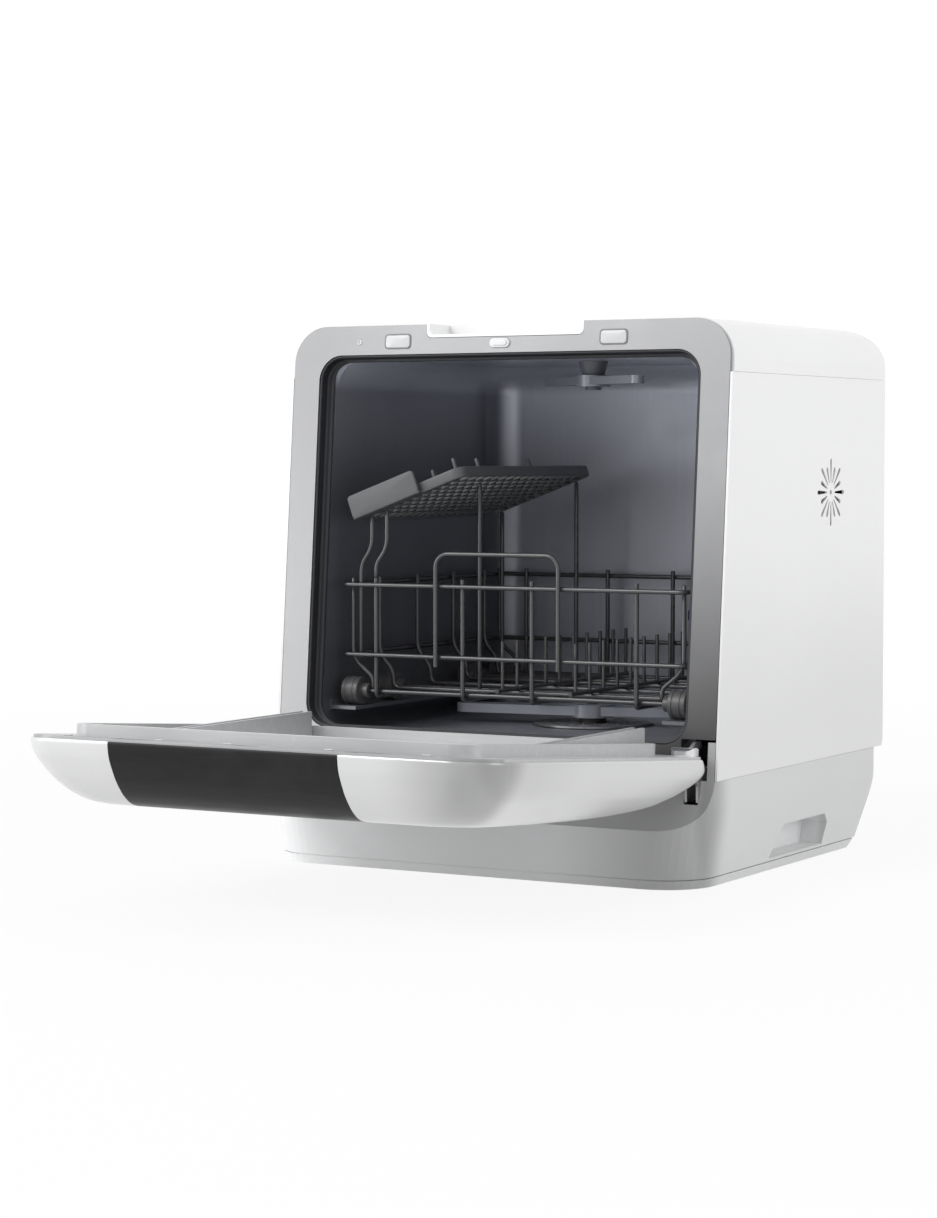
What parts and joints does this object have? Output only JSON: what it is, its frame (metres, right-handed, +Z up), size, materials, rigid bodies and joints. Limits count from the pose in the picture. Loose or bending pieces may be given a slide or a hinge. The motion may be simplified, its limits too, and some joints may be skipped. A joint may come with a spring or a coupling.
{
  "type": "countertop dishwasher",
  "caption": "Countertop dishwasher with a drop-down front door, a roll-out wire basket with a sloping cutlery tray, and spray arms in a steel tub.",
  "frame": {"origin": "centre of the footprint at worktop height, half way between the toe's front and the side panels' rear edge", "axes": "+Z up, +Y from the door towards the rear, +X towards the right seen from in front; the door is open and the basket is in"},
  "size_m": [0.42, 0.7487, 0.458],
  "materials": {
    "base_moulding": "satin",
    "base_pan": "satin",
    "feet": "matte",
    "side_panel_left": "satin",
    "side_panel_right": "satin",
    "top_cover": "satin",
    "rear_panel": "satin",
    "front_frame": "satin",
    "door_seal": "matte",
    "tub": "satin",
    "tub_rails": "satin",
    "sump": "matte",
    "filter_plate": "satin",
    "circulation_pump": "matte",
    "drain_pump": "matte",
    "heater": "satin",
    "air_breaker": "matte",
    "inlet_valve": "matte",
    "drain_outlet": "matte",
    "feed_duct": "matte",
    "power_board": "matte",
    "fan_housing": "matte",
    "fan_rotor": "matte",
    "hinge_brackets": "satin",
    "hinge_pins": "polished",
    "hinge_springs": "satin",
    "door_buffers": "matte",
    "door_catch": "gloss",
    "catch_cup": "matte",
    "sensor_window": "gloss",
    "cord_gland": "matte",
    "rear_screws": "satin",
    "upper_spray_arm": "satin",
    "lower_spray_arm": "satin",
    "door_shell": "satin",
    "control_panel": "satin",
    "door_liner": "satin",
    "hinge_arms": "satin",
    "hinge_covers": "polished",
    "dispenser": "matte",
    "dispenser_lid": "satin",
    "rinse_cap": "satin",
    "panel_board": "matte",
    "upper_rail": "gloss coating",
    "lower_rail": "gloss coating",
    "long_wires": "gloss coating",
    "cross_wires": "gloss coating",
    "axle_rods": "gloss coating",
    "basket_handle": "gloss coating",
    "basket_posts": "gloss coating",
    "plate_tines": "gloss coating",
    "shelf_rod": "gloss coating",
    "cutlery_tray": "satin",
    "shelf_clips": "satin",
    "cup_shelf": "satin",
    "wheels_front_outer": "matte",
    "wheels_front_inner": "matte",
    "wheels_rear_inner": "matte",
    "wheels_rear_outer": "matte"
  },
  "bodies": {
    "housing": {"base_moulding": "base_moulding", "base_pan": "base_pan", "feet": "feet", "side_panel_left": "side_panel_left", "side_panel_right": "side_panel_right", "top_cover": "top_cover", "rear_panel": "rear_panel", "front_frame": "front_frame", "door_seal": "door_seal", "tub": "tub", "tub_rails": "tub_rails", "sump": "sump", "filter_plate": "filter_plate", "circulation_pump": "circulation_pump", "drain_pump": "drain_pump", "heater": "heater", "air_breaker": "air_breaker", "inlet_valve": "inlet_valve", "drain_outlet": "drain_outlet", "feed_duct": "feed_duct", "power_board": "power_board", "fan_housing": "fan_housing", "hinge_brackets": "hinge_brackets", "hinge_pins": "hinge_pins", "hinge_springs": "hinge_springs", "door_buffers": "door_buffers", "catch_cup": "catch_cup", "sensor_window": "sensor_window", "cord_gland": "cord_gland", "rear_screws": "rear_screws"},
    "door": {"door_shell": "door_shell", "control_panel": "control_panel", "door_liner": "door_liner", "hinge_arms": "hinge_arms", "hinge_covers": "hinge_covers", "dispenser": "dispenser", "panel_board": "panel_board"},
    "basket": {"upper_rail": "upper_rail", "lower_rail": "lower_rail", "long_wires": "long_wires", "cross_wires": "cross_wires", "axle_rods": "axle_rods", "basket_handle": "basket_handle", "basket_posts": "basket_posts", "plate_tines": "plate_tines", "cutlery_tray": "cutlery_tray", "shelf_rod": "shelf_rod", "shelf_clips": "shelf_clips"},
    "dispenser_lid": {"dispenser_lid": "dispenser_lid"},
    "rinse_cap": {"rinse_cap": "rinse_cap"},
    "cup_shelf": {"cup_shelf": "cup_shelf"},
    "wheels_1": {"wheels_front_outer": "wheels_front_outer"},
    "wheels_2": {"wheels_front_inner": "wheels_front_inner"},
    "wheels_3": {"wheels_rear_inner": "wheels_rear_inner"},
    "wheels_4": {"wheels_rear_outer": "wheels_rear_outer"},
    "upper_arm": {"upper_spray_arm": "upper_spray_arm"},
    "lower_arm": {"lower_spray_arm": "lower_spray_arm"},
    "fan": {"fan_rotor": "fan_rotor"},
    "catch": {"door_catch": "door_catch"}
  },
  "joints": [
    {"name": "door_hinge", "type": "hinge", "parent": "housing", "child": "door", "pos_m": [0, -0.17056, 0.09703], "axis": [-1, 0, 0], "range_deg": [0, 90]},
    {"name": "basket_slide", "type": "slide", "parent": "housing", "child": "basket", "axis": [0, 1, 0], "range_m": [-0.236, 0]},
    {"name": "wheel_spin_1", "type": "hinge", "parent": "basket", "child": "wheels_1", "pos_m": [0, -0.116, 0.1425], "axis": [-1, 0, 0], "range_deg": [-1110, 0]},
    {"name": "wheel_spin_2", "type": "hinge", "parent": "basket", "child": "wheels_2", "pos_m": [0, -0.0575, 0.1425], "axis": [-1, 0, 0], "range_deg": [-1110, 0]},
    {"name": "wheel_spin_3", "type": "hinge", "parent": "basket", "child": "wheels_3", "pos_m": [0, 0.0875, 0.1425], "axis": [-1, 0, 0], "range_deg": [-1110, 0]},
    {"name": "wheel_spin_4", "type": "hinge", "parent": "basket", "child": "wheels_4", "pos_m": [0, 0.146, 0.1425], "axis": [-1, 0, 0], "range_deg": [-1110, 0]},
    {"name": "cup_shelf_hinge", "type": "hinge", "parent": "basket", "child": "cup_shelf", "pos_m": [0.148, 0, 0.214], "axis": [0, 1, 0], "range_deg": [0, 85]},
    {"name": "dispenser_lid_hinge", "type": "hinge", "parent": "door", "child": "dispenser_lid", "pos_m": [0.054, -0.44734, 0.11708], "axis": [1, 0, 0], "range_deg": [0, 95]},
    {"name": "rinse_cap_turn", "type": "hinge", "parent": "door", "child": "rinse_cap", "pos_m": [0.01, -0.41862, 0.11254], "axis": [0, 0.0809, 0.9967], "range_deg": [0, 90]},
    {"name": "upper_arm_spin", "type": "hinge", "parent": "housing", "child": "upper_arm", "pos_m": [0, 0.03, 0.4125], "axis": [0, 0, 1], "continuous": true},
    {"name": "lower_arm_spin", "type": "hinge", "parent": "housing", "child": "lower_arm", "pos_m": [0, 0.03, 0.121], "axis": [0, 0, 1], "continuous": true},
    {"name": "fan_spin", "type": "hinge", "parent": "housing", "child": "fan", "pos_m": [0.19, 0.069, 0.315], "axis": [1, 0, 0], "continuous": true},
    {"name": "door_catch_slide", "type": "slide", "parent": "housing", "child": "catch", "axis": [0, 0.9967, -0.0809], "range_m": [0, 0.0025], "stiffness_N_per_m": 600}
  ],
  "couplings": [
    {"joint": "wheel_spin_1", "follows": "basket_slide", "rad_per_m": 81.967},
    {"joint": "wheel_spin_2", "follows": "basket_slide", "rad_per_m": 81.967},
    {"joint": "wheel_spin_3", "follows": "basket_slide", "rad_per_m": 81.967},
    {"joint": "wheel_spin_4", "follows": "basket_slide", "rad_per_m": 81.967}
  ]
}
